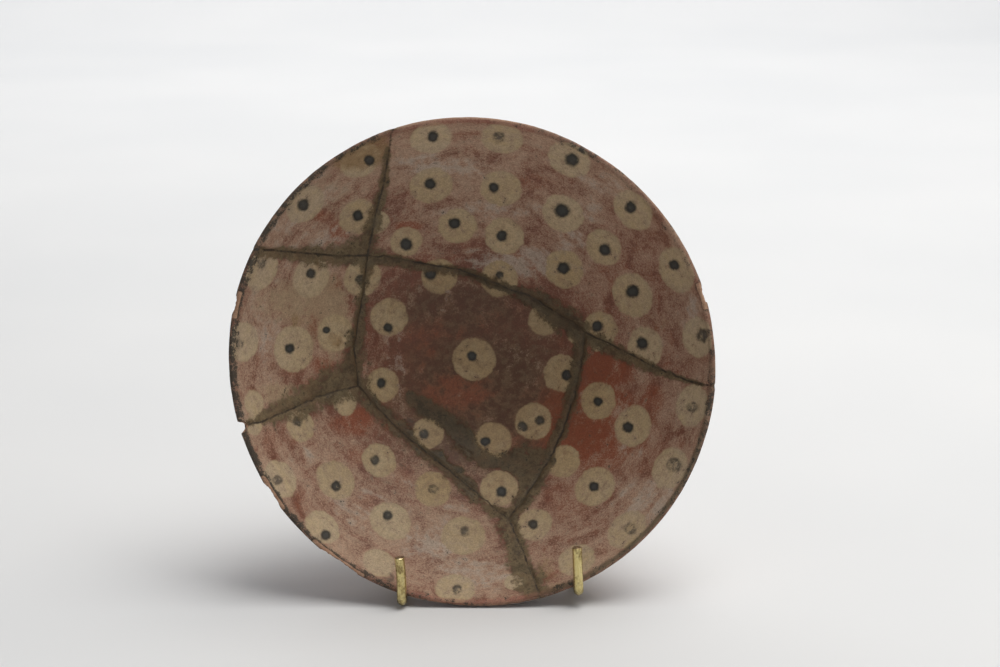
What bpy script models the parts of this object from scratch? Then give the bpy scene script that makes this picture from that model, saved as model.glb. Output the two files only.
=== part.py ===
"""A mended pottery bowl that stands upright in a stand bent from one brass rod.

The bowl is turned about its own axis, taken a little out of round, scored along its
mended cracks, chipped along its rim and leaned back in the stand.
Metres, +Z up, the bowl's mouth towards -Y, origin under the middle at table height.
"""

import math

import bmesh
import bpy
import numpy as np
from mathutils import Euler, Vector

# Bowl
RIM_RADIUS = 0.095
DEPTH = 0.058
FLOOR = 0.0050
WALL = 0.0050
LIP = 0.0022
LIP_TAPER = 0.016
BASE_RADIUS = 0.029
HEEL = 0.010
LEAN = math.radians(12.0)

# Slope of the inside in degrees, by share of the rim's radius
SLOPES = ((0.0, 0.0), (0.32, 13.0), (0.40, 29.0), (0.74, 40.0), (0.93, 52.0), (1.0, 66.0))

# How far the rim strays from a true circle and from a flat plane
OUT_OF_ROUND = 0.0115
LONG_WAY = math.radians(126.0)
RIM_WARP = 0.0006
WARP_TURN = math.radians(40.0)

# Mended cracks, scored into the inside
GROOVE_RADIUS = 0.0014
GROOVE_DEPTH = 0.0008
GROOVE_STEP = 0.009
GROOVE_OVERRUN = 0.004
OVERRUN_SLOPE = 0.35

# Stand
ROD_DIAMETER = 0.0038
STAND_LENGTH = 0.120
LEFT_PRONG_X = -0.0276
RIGHT_PRONG_X = 0.0412
PRONG_HEIGHT = 0.0187
PRONG_TILT = math.radians(2.7)
HOOK_BEND = 0.0034
REAR_BEND = 0.010
TOP_BEND = 0.009
DIP_BEND = 0.012
HOOK_LENGTH = 0.012
DIP_LENGTH = 0.016
BACKREST_RISE = 0.012
RAIL_FLAT = 0.0003
FIT = 0.0004
RIM_CLEARANCE = 0.0005

# Fineness of the solids
TURN_STEPS = 80
INSIDE_ROWS = 15
OUTSIDE_ROWS = 10
HEEL_ROWS = 3
LIP_ROWS = 3
TABLE_STEPS = 600
ARC_STEPS = 5

# The cracks' courses are held as pixels of a picture taken almost along the bowl's axis,
# in which the rim's outline has this centre and mean radius
PICTURE_CENTRE = (471.7, 361.2)
PICTURE_RIM = 244.6
# What lies at the bowl's full depth looks smaller by this share, and higher by this one
PERSPECTIVE = 0.058
FLOOR_SHIFT = 0.0225

TOP_JOINT = (368, 255)
LEFT_JOINT = (358, 385)
LOW_JOINT = (507, 518)
RIGHT_JOINT = (584, 333)
RIM_CRACKS = {
    "top": ((393, 117), (388, 160), (383, 190), (376, 215), (371, 240), TOP_JOINT),
    "left": ((255, 247), (300, 252), (340, 256), TOP_JOINT),
    "right": ((715, 387), (690, 381), (665, 372), (640, 360), (610, 345), RIGHT_JOINT),
    "notch": ((235, 426), (262, 420), (290, 408), (320, 395), LEFT_JOINT),
    "low": ((541, 600), (535, 585), (525, 560), (515, 535), LOW_JOINT),
}
INNER_CRACKS = {
    "across": (
        TOP_JOINT, (400, 258), (430, 265), (460, 270), (480, 277), (505, 288),
        (530, 297), (550, 310), (572, 322), RIGHT_JOINT,
    ),
    "short": (TOP_JOINT, (364, 290), (358, 320), (354, 350), LEFT_JOINT),
    "floor": (
        LEFT_JOINT, (380, 410), (400, 430), (430, 455), (460, 480), (490, 505), LOW_JOINT,
    ),
    "side": (
        LOW_JOINT, (525, 495), (545, 465), (560, 435), (572, 400), (580, 365), RIGHT_JOINT,
    ),
}

# Rim chips: angle round the rim in degrees, half length, bite and half height
CHIPS = {
    "notch": (195.5, 0.0025, 0.0040, 0.0060),
    "left": (166.0, 0.0045, 0.0010, 0.0024),
    "lower_left": (213.0, 0.0070, 0.0014, 0.0026),
    "bottom_left": (235.5, 0.0115, 0.0015, 0.0026),
    "right": (16.0, 0.0045, 0.0014, 0.0026),
}
CHIP_SIDES = 10
CHIP_RINGS = 6

POTTERY = (0.36, 0.20, 0.14)
BRASS = (0.72, 0.58, 0.27)


def smooth(value):
    """Ease from 0 to 1 with level ends."""
    value = np.clip(value, 0.0, 1.0)
    return value * value * (3.0 - 2.0 * value)


def wall_tables():
    """Finely spaced radius and height of the inside and the outside, and the slope."""
    share = np.linspace(0.0, 1.0, TABLE_STEPS + 1)
    steps, degrees = np.transpose(SLOPES)
    rise = np.tan(np.radians(np.interp(share, steps, degrees)))
    climb = np.concatenate([[0.0], np.cumsum((rise[1:] + rise[:-1]) / 2.0)])
    inner_rim = RIM_RADIUS - LIP
    radius = inner_rim * share
    height = FLOOR + DEPTH * climb / climb[-1]
    slope = np.arctan2(np.gradient(height), np.gradient(radius))
    thickness = LIP + (WALL - LIP) * smooth((inner_rim - radius) / LIP_TAPER)
    outer_radius = radius + thickness * np.sin(slope)
    outer_height = height - thickness * np.cos(slope)
    outer_height = outer_height * smooth((outer_radius - BASE_RADIUS) / HEEL)
    return radius, height, outer_radius, outer_height, slope


INSIDE_R, INSIDE_H, OUTSIDE_R, OUTSIDE_H, SLOPE = wall_tables()


def along(radius, height, first, last, rows):
    """Points spaced evenly along a curve between two of its radii."""
    length = np.concatenate([[0.0], np.cumsum(np.hypot(np.diff(radius), np.diff(height)))])
    ends = np.interp((first, last), radius, length)
    places = np.linspace(ends[0], ends[1], rows + 1)
    return list(zip(np.interp(places, length, radius), np.interp(places, length, height)))


def bowl_profile():
    """Section of the bowl from the middle of its floor, over the lip, to its underside."""
    inside = along(INSIDE_R, INSIDE_H, 0.0, INSIDE_R[-1], INSIDE_ROWS)
    wall_start = BASE_RADIUS + HEEL
    wall = along(OUTSIDE_R, OUTSIDE_H, wall_start, OUTSIDE_R[-1], OUTSIDE_ROWS)
    heel = along(OUTSIDE_R, OUTSIDE_H, BASE_RADIUS, wall_start, HEEL_ROWS)
    inner, outer = Vector(inside[-1]), Vector(wall[-1])
    middle = (inner + outer) / 2.0
    lip = []
    for row in range(1, LIP_ROWS + 1):
        turn = -math.pi * row / (LIP_ROWS + 1)
        arm = inner - middle
        lip.append(middle + Vector((
            arm.x * math.cos(turn) - arm.y * math.sin(turn),
            arm.x * math.sin(turn) + arm.y * math.cos(turn),
        )))
    outside = wall[::-1] + heel[-2:0:-1] + [(BASE_RADIUS, 0.0), (0.0, 0.0)]
    return [tuple(point) for point in inside + lip + outside]


def strayed(point):
    """Move a point of the true turned bowl to where the hand-made one has it."""
    x, y, z = point
    angle = math.atan2(y, x)
    stretch = 1.0 + OUT_OF_ROUND * math.cos(2.0 * (angle - LONG_WAY))
    lift = RIM_WARP * math.cos(2.0 * angle + WARP_TURN) * (x * x + y * y) / RIM_RADIUS ** 2
    return Vector((x * stretch, y * stretch, z + lift))


def inside_frame(x, y):
    """The point of the inside over x and y, and the direction out of the wall there."""
    angle = math.atan2(y, x)
    stretch = 1.0 + OUT_OF_ROUND * math.cos(2.0 * (angle - LONG_WAY))
    radius = math.hypot(x, y) / stretch
    height = float(np.interp(radius, INSIDE_R, INSIDE_H))
    height += max(0.0, radius - INSIDE_R[-1]) * OVERRUN_SLOPE
    slope = float(np.interp(radius, INSIDE_R, SLOPE))
    point = strayed((radius * math.cos(angle), radius * math.sin(angle), height))
    normal = Vector((
        -math.sin(slope) * math.cos(angle),
        -math.sin(slope) * math.sin(angle),
        math.cos(slope),
    ))
    return point, normal


def from_picture(pixel):
    """Where a pixel lies on the inside, as x and y in the bowl's own frame."""
    across = (pixel[0] - PICTURE_CENTRE[0]) / PICTURE_RIM
    up = (PICTURE_CENTRE[1] - pixel[1]) / PICTURE_RIM
    x, y = across, up
    for _ in range(4):
        height = np.interp(math.hypot(x, y) * RIM_RADIUS, INSIDE_R, INSIDE_H)
        sunk = (INSIDE_H[-1] - height) / DEPTH
        x = across * (1.0 + PERSPECTIVE * sunk)
        y = (up - FLOOR_SHIFT * sunk) * (1.0 + PERSPECTIVE * sunk)
    return Vector((x * RIM_RADIUS, y * RIM_RADIUS))


def material(name, colour, roughness, metallic):
    made = bpy.data.materials.new(name)
    made.use_nodes = True
    shader = made.node_tree.nodes["Principled BSDF"]
    shader.inputs["Base Color"].default_value = (*colour, 1.0)
    shader.inputs["Roughness"].default_value = roughness
    shader.inputs["Metallic"].default_value = metallic
    return made


def as_mesh(source, collection):
    """Replace an object by the plain closed mesh that its curve or modifiers make."""
    evaluated = source.evaluated_get(bpy.context.evaluated_depsgraph_get())
    mesh = bpy.data.meshes.new_from_object(evaluated)
    name, matrix = source.name, source.matrix_world.copy()
    bpy.data.objects.remove(source)
    shape = bmesh.new()
    shape.from_mesh(mesh)
    bmesh.ops.remove_doubles(shape, verts=shape.verts, dist=1e-6)
    bmesh.ops.recalc_face_normals(shape, faces=shape.faces)
    shape.to_mesh(mesh)
    shape.free()
    made = bpy.data.objects.new(name, mesh)
    made.matrix_world = matrix
    collection.objects.link(made)
    return made


def rod(name, points, diameter, resolution, collection):
    """A round rod along a line of points."""
    curve = bpy.data.curves.new(name, "CURVE")
    curve.dimensions = "3D"
    curve.bevel_depth = diameter / 2.0
    curve.bevel_resolution = resolution
    curve.use_fill_caps = True
    spline = curve.splines.new("POLY")
    spline.points.add(len(points) - 1)
    for slot, point in zip(spline.points, points):
        slot.co = (*point, 1.0)
    made = bpy.data.objects.new(name, curve)
    collection.objects.link(made)
    bpy.context.view_layer.update()
    return as_mesh(made, collection)


def cut(target, cutter):
    """Take a cutter out of a piece."""
    cutter.hide_render = True
    cutter.display_type = "WIRE"
    modifier = target.modifiers.new(cutter.name, "BOOLEAN")
    modifier.operation = "DIFFERENCE"
    modifier.object = cutter


def turned_bowl(collection):
    """The whole bowl before it cracked, round its own axis."""
    mesh = bpy.data.meshes.new("bowl")
    profile = bowl_profile()
    edges = [(row, row + 1) for row in range(len(profile) - 1)]
    mesh.from_pydata([(r, 0.0, h) for r, h in profile], edges, [])
    turned = bpy.data.objects.new("bowl", mesh)
    collection.objects.link(turned)
    screw = turned.modifiers.new("turn", "SCREW")
    screw.steps = TURN_STEPS
    screw.render_steps = TURN_STEPS
    screw.use_merge_vertices = True
    screw.merge_threshold = 0.00001
    bpy.context.view_layer.update()
    bowl = as_mesh(turned, collection)
    for vertex in bowl.data.vertices:
        vertex.co = strayed(vertex.co)
    bowl.data.shade_smooth()
    bowl.data.set_sharp_from_angle(angle=math.radians(50.0))
    return bowl


def spaced(course, step):
    """A line through the given points, as points at most one step apart."""
    points = [course[0]]
    for start, end in zip(course, course[1:]):
        parts = max(1, round((end - start).length / step))
        points += [start.lerp(end, part / parts) for part in range(1, parts + 1)]
    return points


def crack_groove(name, pixels, from_rim, bowl, collection):
    """A round-bottomed groove in the inside, run out over the lip if it starts there."""
    course = [from_picture(pixel) for pixel in pixels]
    if from_rim:
        outward = (course[0] - course[1]).normalized()
        course.insert(0, course[0] + outward * GROOVE_OVERRUN)
    points = []
    for place in spaced(course, GROOVE_STEP):
        point, normal = inside_frame(*place)
        points.append(point + normal * (GROOVE_RADIUS - GROOVE_DEPTH))
    groove = rod(f"crack_{name}", points, 2.0 * GROOVE_RADIUS, 1, collection)
    groove.parent = bowl
    cut(bowl, groove)


def rim_chip(name, size, bowl, collection):
    """A flake lost from the lip's outer edge."""
    degrees, half_length, bite, half_height = size
    angle = math.radians(degrees)
    reach = RIM_RADIUS + bite / 2.0
    edge = strayed((reach * math.cos(angle), reach * math.sin(angle), INSIDE_H[-1]))
    bpy.ops.mesh.primitive_uv_sphere_add(segments=CHIP_SIDES, ring_count=CHIP_RINGS, radius=1.0)
    chip = bpy.context.object
    chip.name = f"chip_{name}"
    for held in list(chip.users_collection):
        held.objects.unlink(chip)
    collection.objects.link(chip)
    chip.scale = (bite * 1.5, half_length, half_height)
    chip.rotation_euler = (0.0, 0.0, angle)
    chip.location = edge
    chip.parent = bowl
    cut(bowl, chip)


def bowl_skin(seat):
    """Points all over the leaned bowl's lip and outside, near its lowest edge."""
    rim = [point for point in bowl_profile() if point[0] > RIM_RADIUS - WALL - LIP]
    turns = np.radians(np.arange(180.0, 360.0, 0.25))
    skin = [strayed((r * math.cos(a), r * math.sin(a), h)) for a in turns for r, h in rim]
    return np.array([seat @ point for point in skin])


def beside(skin, x, column):
    """How near a rod that passes at x may come to the skin along one world axis."""
    room = ROD_DIAMETER / 2.0 + FIT
    sideways = np.abs(skin[:, 0] - x)
    near = sideways < room
    return float((skin[near, column] - np.sqrt(room ** 2 - sideways[near] ** 2)).min())


def bent(corners):
    """Round off the corners of a line of points. A corner is a point and its bend radius."""
    points = [corners[0][0]]
    for before, (corner, radius), after in zip(corners, corners[1:], corners[2:]):
        back = (before[0] - corner).normalized()
        ahead = (after[0] - corner).normalized()
        half = back.angle(ahead) / 2.0
        centre = corner + (back + ahead).normalized() * radius / math.sin(half)
        start = corner + back * radius / math.tan(half) - centre
        end = corner + ahead * radius / math.tan(half) - centre
        swing = start.angle(end)
        for step in range(ARC_STEPS + 1):
            share = step / ARC_STEPS
            first = math.sin((1.0 - share) * swing) / math.sin(swing)
            second = math.sin(share * swing) / math.sin(swing)
            points.append(centre + start * first + end * second)
    points.append(corners[-1][0])
    return points


def rear_corner(rail, backrest):
    """Where a rail and its strut would meet, if their bend is to end at the stand's rear."""
    middle_y = STAND_LENGTH / 2.0 - ROD_DIAMETER / 2.0 - REAR_BEND
    middle_z = rail + REAR_BEND
    down_y, down_z = middle_y - backrest.y, middle_z - backrest.z
    heading = math.atan2(down_z, down_y) + math.asin(REAR_BEND / math.hypot(down_y, down_z))
    return backrest.y + (rail - backrest.z) / math.tan(heading)


def half_stand(x, skin, backrest):
    """One side of the rod, from its prong to its upper corner behind the bowl."""
    reach = beside(skin, x, 1)
    hook = beside(skin, x, 2)
    rail = ROD_DIAMETER / 2.0 - RAIL_FLAT
    rear = rear_corner(rail, backrest)
    tip = Vector((x - PRONG_HEIGHT * math.tan(PRONG_TILT), reach, hook + PRONG_HEIGHT))
    return [
        (tip, 0.0),
        (Vector((x, reach, hook)), HOOK_BEND),
        (Vector((x, reach + HOOK_LENGTH, hook)), DIP_BEND),
        (Vector((x, reach + HOOK_LENGTH + DIP_LENGTH, rail)), DIP_BEND),
        (Vector((x, rear, rail)), REAR_BEND),
        (Vector((x, backrest.y, backrest.z)), TOP_BEND),
    ]


def main():
    for old in list(bpy.data.objects):
        bpy.data.objects.remove(old)
    parts = bpy.data.collections.new("spotted_bowl")
    cutters = bpy.data.collections.new("cutters")
    bpy.context.scene.collection.children.link(parts)
    bpy.context.scene.collection.children.link(cutters)

    bowl = turned_bowl(parts)
    bowl.data.materials.append(material("pottery", POTTERY, 0.9, 0.0))
    for name, pixels in RIM_CRACKS.items():
        crack_groove(name, pixels, True, bowl, cutters)
    for name, pixels in INNER_CRACKS.items():
        crack_groove(name, pixels, False, bowl, cutters)
    for name, size in CHIPS.items():
        rim_chip(name, size, bowl, cutters)

    # The bowl leans back, its rim just over the table and its lip just behind the prongs
    turn = Euler((math.pi / 2.0 - LEAN, 0.0, 0.0)).to_matrix()
    skin = bowl_skin(turn)
    front = min(beside(skin, x, 1) for x in (LEFT_PRONG_X, RIGHT_PRONG_X))
    bowl.location = (
        0.0,
        ROD_DIAMETER / 2.0 - STAND_LENGTH / 2.0 - front,
        RIM_CLEARANCE - skin[:, 2].min(),
    )
    bowl.rotation_euler = turn.to_euler()
    skin = skin + np.array(bowl.location)

    # The crossbar of the backrest lies flat against the bowl's base
    off_base = -(ROD_DIAMETER / 2.0 + FIT)
    backrest = bowl.location + turn @ Vector((0.0, BACKREST_RISE, off_base))
    left = half_stand(LEFT_PRONG_X, skin, backrest)
    right = half_stand(RIGHT_PRONG_X, skin, backrest)
    stand = rod("stand", bent(left + right[::-1]), ROD_DIAMETER, 4, parts)
    stand.data.shade_smooth()
    stand.data.set_sharp_from_angle(angle=math.radians(50.0))
    stand.data.materials.append(material("brass", BRASS, 0.35, 1.0))

    # The rails' undersides are filed flat where they stand on the table
    bpy.ops.mesh.primitive_cube_add(size=2.0 * STAND_LENGTH, location=(0.0, 0.0, -STAND_LENGTH))
    table = bpy.context.object
    table.name = "table_level"
    for held in list(table.users_collection):
        held.objects.unlink(table)
    cutters.objects.link(table)
    cut(stand, table)


if __name__ == "__main__":
    main()
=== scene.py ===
"""Looks of the mended pottery bowl and its brass stand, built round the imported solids.

The bowl is one closed skin, fine along its cracks and chips and coarser elsewhere. What is
painted or stained on it is held as fields on the skin, which the material turns into colour.
"""

import math

import bmesh
import bpy
import numpy as np
from mathutils import Euler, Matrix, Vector


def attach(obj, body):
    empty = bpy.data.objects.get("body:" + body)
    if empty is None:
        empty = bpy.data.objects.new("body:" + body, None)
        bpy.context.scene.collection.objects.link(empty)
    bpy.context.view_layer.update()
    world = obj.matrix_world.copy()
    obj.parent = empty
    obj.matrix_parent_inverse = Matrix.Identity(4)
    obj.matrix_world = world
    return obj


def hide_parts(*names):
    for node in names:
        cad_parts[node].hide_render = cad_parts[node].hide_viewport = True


# Bowl, as in the solid
RIM_RADIUS = 0.095
DEPTH = 0.058
FLOOR = 0.0050
WALL = 0.0050
LIP = 0.0022
LIP_TAPER = 0.016
BASE_RADIUS = 0.029
HEEL = 0.010
LEAN = math.radians(12.0)
SLOPES = ((0.0, 0.0), (0.32, 13.0), (0.40, 29.0), (0.74, 40.0), (0.93, 52.0), (1.0, 66.0))
OUT_OF_ROUND = 0.0115
LONG_WAY = math.radians(126.0)
RIM_WARP = 0.0006
WARP_TURN = math.radians(40.0)
BOWL_SEAT = np.array((0.0, 0.024472, 0.080769))

# Stand, as in the solid
ROD_DIAMETER = 0.0038
RAIL_FLAT = 0.0003
PRONG_HEIGHT = 0.0187
PRONG_TILT = math.radians(2.7)
HOOK_BEND = 0.0034
DIP_BEND = 0.012
REAR_BEND = 0.010
TOP_BEND = 0.009
HOOK_LENGTH = 0.012
DIP_LENGTH = 0.016
REAR_CORNER = 0.06243
BACKREST = (0.02922, 0.09203)
# Its two sides: how far across each is, and how far back and how high its hook lies
SIDES = {"left": (-0.0276, -0.0581, 0.00273), "right": (0.0412, -0.05788, 0.00654)}

# Its rod: how finely it is drawn, its softened cut ends, small dents round it and along it,
# and the kink in its left prong
ROD_SIDES = 24
ROD_STEP = 0.0022
BEND_STEPS = 10
CUT_EDGE = 0.00022
CUT_GIRTH = 0.88
DENT = 0.00002
DENT_ROUND = 3.0
DENT_ALONG = 0.35
KINK = 0.00028
KINK_LOW = 0.004
KINK_LENGTH = 0.017
KINK_FRONT = -0.054
SHARP = math.radians(40.0)

# The picture plane that holds the paint: the rim's outline in pixels, and how the bowl's
# deeper parts shrink and rise in it
PICTURE_CENTRE = (471.7, 361.2)
PICTURE_RIM = 244.6
PERSPECTIVE = 0.058
FLOOR_SHIFT = 0.0225
PIXEL = RIM_RADIUS / PICTURE_RIM

# View: the picture's middle, and where in it the middle of the rim lies
PICTURE_MIDDLE = (500.0, 333.5)
PICTURE_WIDTH = 1000.0
VIEW_AIM = (472.27, 362.45)
VIEW_RISE = math.radians(2.75)
VIEW_DISTANCE = 1.0
SENSOR_WIDTH = 36.0

# Lights: place, aim, size, power and colour of each, and the sky round them
BOWL_MIDDLE = (0.0, 0.0, 0.09)
WALL_MIDDLE = (0.0, 2.2, 0.6)
LIGHTS = {
    "overhead": ((0.40, -0.06, 1.29), BOWL_MIDDLE, (1.2, 1.0), 16.4, (1.0, 0.985, 0.955)),
    "front_fill": ((-0.5, -1.6, 0.7), BOWL_MIDDLE, (1.2, 0.8), 0.5, (0.97, 0.98, 1.0)),
    "back_wash": ((0.0, 1.1, 1.7), WALL_MIDDLE, (2.4, 0.6), 30.0, (1.0, 1.0, 1.0)),
}
SKY = (0.90, 0.93, 1.0, 1.0)
SKY_STRENGTH = 0.13

# Paper sheet: its front edge, where it starts to curve up, the curve, its top and half width
SHEET_FRONT, SHEET_BEND, SHEET_CURVE, SHEET_TOP, SHEET_HALF = -3.0, 1.6, 0.8, 3.2, 4.0
SHEET_STEPS = 12

# Cracks: where they meet, and their courses in pixels
TOP_JOINT = (368, 255)
LEFT_JOINT = (358, 385)
LOW_JOINT = (507, 518)
RIGHT_JOINT = (584, 333)
COURSES = {
    "top": ((396, 105), (393, 130), (388, 160), (383, 190), (376, 215), (371, 240), TOP_JOINT),
    "left": ((236, 245), (255, 247), (300, 252), (340, 256), TOP_JOINT),
    "right": (
        (728, 388), (715, 386), (690, 381), (665, 372), (640, 360), (610, 345), RIGHT_JOINT,
    ),
    "notch": ((225, 428), (243, 424), (262, 420), (290, 408), (320, 395), LEFT_JOINT),
    "low": ((546, 616), (540, 600), (535, 585), (525, 560), (515, 535), LOW_JOINT),
    "across": (
        TOP_JOINT, (400, 258), (430, 265), (460, 270), (480, 277), (505, 288),
        (530, 297), (550, 310), (572, 322), RIGHT_JOINT,
    ),
    "short": (TOP_JOINT, (364, 290), (358, 320), (354, 350), LEFT_JOINT),
    "floor": (
        LEFT_JOINT, (380, 410), (400, 430), (430, 455), (460, 480), (490, 505), LOW_JOINT,
    ),
    "side": (
        LOW_JOINT, (525, 495), (545, 465), (560, 435), (572, 400), (580, 365), RIGHT_JOINT,
    ),
}
# Their depth, and in pixels their half width, how often they turn and how far they stray
CRACK_DEPTH = 0.0008
CRACK_WIDTH = 3.6
CRACK_STEP = 5.0
CRACK_SWAY = 0.45

# Sherds: how far each stands proud of the turned shape, then the courses round it, turned
# round after a minus sign, and the points far outside that close it past the rim
SHERDS = (
    (0.00006, (397, -900), "top", "across", "-right", (1900, 420), (1900, -900)),
    (-0.00020, (397, -900), "top", "-left", (-900, 240), (-900, -900)),
    (0.00014, (-900, 240), "left", "short", "-notch", (-900, 450)),
    (0.00018, (-900, 450), "notch", "floor", "-low", (560, 1600), (-900, 1600)),
    (-0.00012, (1900, 420), "right", "-side", "-low", (560, 1600), (1900, 1600)),
    (-0.00016, "across", "-side", "-floor", "-short"),
)

# Unevenness of the skin: height, wavelength and seed of each swell
SWELLS = ((0.00016, 0.045, 11), (0.00004, 0.007, 12), (0.00002, 0.0022, 13))
# Ridges that turning left: height, distance apart and how far they stray
RIDGE, RIDGE_PITCH, RIDGE_STRAY = 0.00003, 0.0042, 0.0008
# How many wiped lines there are out to the rim, and how far they run before they change
TURNED_LINES = 14.0
TURNED_RUN = 1.6

# Rim chips: angle in degrees, half length, bite, half height, and whether it goes right
# through, then the width and depth of the bare faces beside them
CHIPS = (
    (195.5, 0.0025, 0.0040, 0.0060, True),
    (166.0, 0.0045, 0.0010, 0.0024, False),
    (213.0, 0.0070, 0.0014, 0.0026, False),
    (235.5, 0.0115, 0.0015, 0.0026, False),
    (16.0, 0.0045, 0.0014, 0.0026, False),
)
FLAKE_WIDTH = 0.0016
FLAKE_DEPTH = 0.00035

# Painted spots in pixels: centre and half sizes, then the dot's centre, radius and strength
SPOTS = (
    (431, 137, 21, 15, 433, 136, 5.5, 0.95), (502, 138, 21, 15, 498, 137, 6, 0.6),
    (569, 159, 20, 19, 571.5, 159, 7, 0.9), (361, 160, 20, 17, 370, 160, 5, 0.9),
    (306, 203.5, 19, 18, 304, 204, 6, 0.85), (357.5, 216, 18, 17, 358, 215, 5.5, 1),
    (431, 185, 22, 17, 430.5, 183, 6, 1), (501, 188, 21, 17, 493.5, 187.5, 5.5, 0.95),
    (563, 213, 20, 19, 562, 210, 7.5, 1), (633, 210, 19, 20, 630, 207, 6, 0.95),
    (457, 226, 20, 16, 454.4, 223, 6, 1), (504, 236, 21, 17, 501, 235.6, 5.5, 1),
    (405.7, 241, 16, 14, 405.7, 244, 6, 1), (603.6, 247, 16, 19, 605, 249, 6, 1),
    (676.6, 269, 19, 22, 674, 264, 5.5, 0.95), (564, 269, 19, 19, 563, 268, 6.5, 1),
    (632, 295, 19, 23, 632, 291, 6.5, 0.95), (499, 279, 20, 16, 499, 275.4, 4, 0.75),
    (439, 276, 18, 17, 430, 273.4, 7, 0.9), (261, 269, 17, 19, 260.4, 261.5, 5, 0.55),
    (311, 276, 20, 18, 310, 272.4, 5, 0.85), (362, 277, 17, 20, 360, 279, 5, 0.8),
    (389, 317, 18, 19, 387.8, 327.5, 5, 1), (334, 332, 15, 20, 325.7, 329, 3.6, 1),
    (293, 348, 21, 22, 289, 347.4, 5, 1), (243, 340, 13, 21, 239, 342, 5, 0.5),
    (473.3, 359, 21.2, 20.6, 471.3, 355.7, 4.6, 1), (599.7, 329, 17, 17, 596.4, 326, 5.5, 0.95),
    (644.4, 347, 18, 20, 641.8, 343.4, 6.5, 1), (697, 337, 15, 20, 703, 334.8, 7, 0.7),
    (543, 320.5, 13, 17, 546.6, 312, 4.5, 0.6), (560.5, 373.6, 17, 19, 566, 375, 5.5, 1),
    (382.5, 384.5, 15, 17, 381, 383, 5, 0.95), (597.4, 401, 15, 20, 597.4, 401.5, 5, 1),
    (632, 426, 17, 21, 627, 426.7, 5.5, 1), (691, 405, 17, 20, 691.5, 406.4, 5.5, 0.6),
    (532.4, 421.7, 18, 18, 539.3, 420.7, 5, 0.75), (492, 441, 19, 18, 484.3, 441.6, 5, 1),
    (427, 433, 15, 15, 423.2, 433.3, 5, 0.75), (498, 488.7, 19, 17, 500, 491.3, 5.5, 1),
    (563, 461.5, 14, 18, 551.6, 460.8, 4, 0.75), (299.5, 425, 16, 13, 296.6, 420.4, 5, 0.7),
    (378, 459.8, 17, 17, 374, 459.8, 5, 0.75), (334, 479.7, 19, 19, 334.4, 485.7, 5, 0.85),
    (278.6, 478, 14, 20, 275.3, 479.7, 5, 0.55), (431.5, 489.7, 19, 16, 432.2, 490, 5, 0.55),
    (389, 521, 21, 18, 386, 515.9, 5, 0.85), (321, 526, 17, 16, 324, 534.4, 5, 0.85),
    (462, 536, 21, 20, 463.7, 532, 5, 0.6), (533.3, 524.5, 16, 17, 532.3, 524.8, 5, 0.8),
    (594, 486.7, 19, 20, 593.4, 486.7, 5, 1), (669, 468, 18, 20, 673.6, 464.8, 7.5, 0.6),
    (626, 529.5, 19, 19, 629.5, 528.5, 6, 0.55), (453.7, 588.5, 19, 15, 455.7, 589, 5, 0.65),
    (377.5, 562.6, 17, 12, 388, 577.5, 5, 0.5), (576, 560, 20, 13, 584, 562.6, 4.5, 0.25),
)
# Scraps of spots with no dot of their own, stray dots, how much a spot narrows towards the
# rim, and what stands for far from a spot, in pixels
SCRAPS = (
    (253, 401, 12, 10), (253, 424, 10, 8), (344, 402, 12, 12), (574, 337, 5, 7),
    (596, 345, 7, 4), (379, 222, 8, 12), (514, 582, 9, 10),
)
STRAY_DOTS = ((521.7, 426.6, 5.0, 0.75), (372.5, 477.4, 4.0, 0.35), (409, 423, 5.0, 0.5))
SPOT_NARROWS = 0.32
FAR_EDGE = 60.0

# Filler and dirt smeared over the joins, as strokes of points and half widths in pixels,
# with a factor on all the widths and what stands for no smear
SMEAR_WIDTH = 1.05
NO_SMEAR = -9.0
SMEARS = (
    ((388, 150, 3), (383, 190, 5), (376, 215, 7), (368, 238, 10), (360, 253, 13)),
    ((256, 250, 5), (300, 254, 8), (340, 254, 10), (364, 252, 14)),
    ((368, 256, 8), (400, 262, 5), (430, 267, 5), (470, 274, 5), (510, 290, 5), (535, 300, 8),
     (553, 314, 13), (572, 326, 13), (584, 336, 10)),
    ((584, 336, 10), (610, 350, 7), (640, 363, 6), (665, 374, 4), (700, 384, 2)),
    ((366, 262, 8), (362, 300, 6), (357, 330, 8), (354, 352, 10), (352, 374, 14)),
    ((248, 421, 3), (272, 413, 9), (298, 402, 14), (324, 390, 17), (346, 378, 18), (356, 384, 16)),
    ((358, 386, 14), (382, 412, 9), (402, 431, 8), (431, 456, 8), (460, 480, 8), (490, 506, 9),
     (507, 519, 12)),
    ((507, 519, 12), (515, 545, 10), (520, 565, 12), (528, 580, 15), (536, 594, 13)),
    ((507, 519, 12), (526, 496, 9), (544, 466, 8), (558, 436, 7), (570, 400, 7), (577, 365, 7),
     (582, 338, 9)),
    ((412, 398, 7), (432, 412, 10), (450, 428, 12), (470, 445, 12), (494, 462, 14), (516, 468, 18),
     (534, 462, 15), (524, 482, 14), (512, 500, 11)),
)

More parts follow.
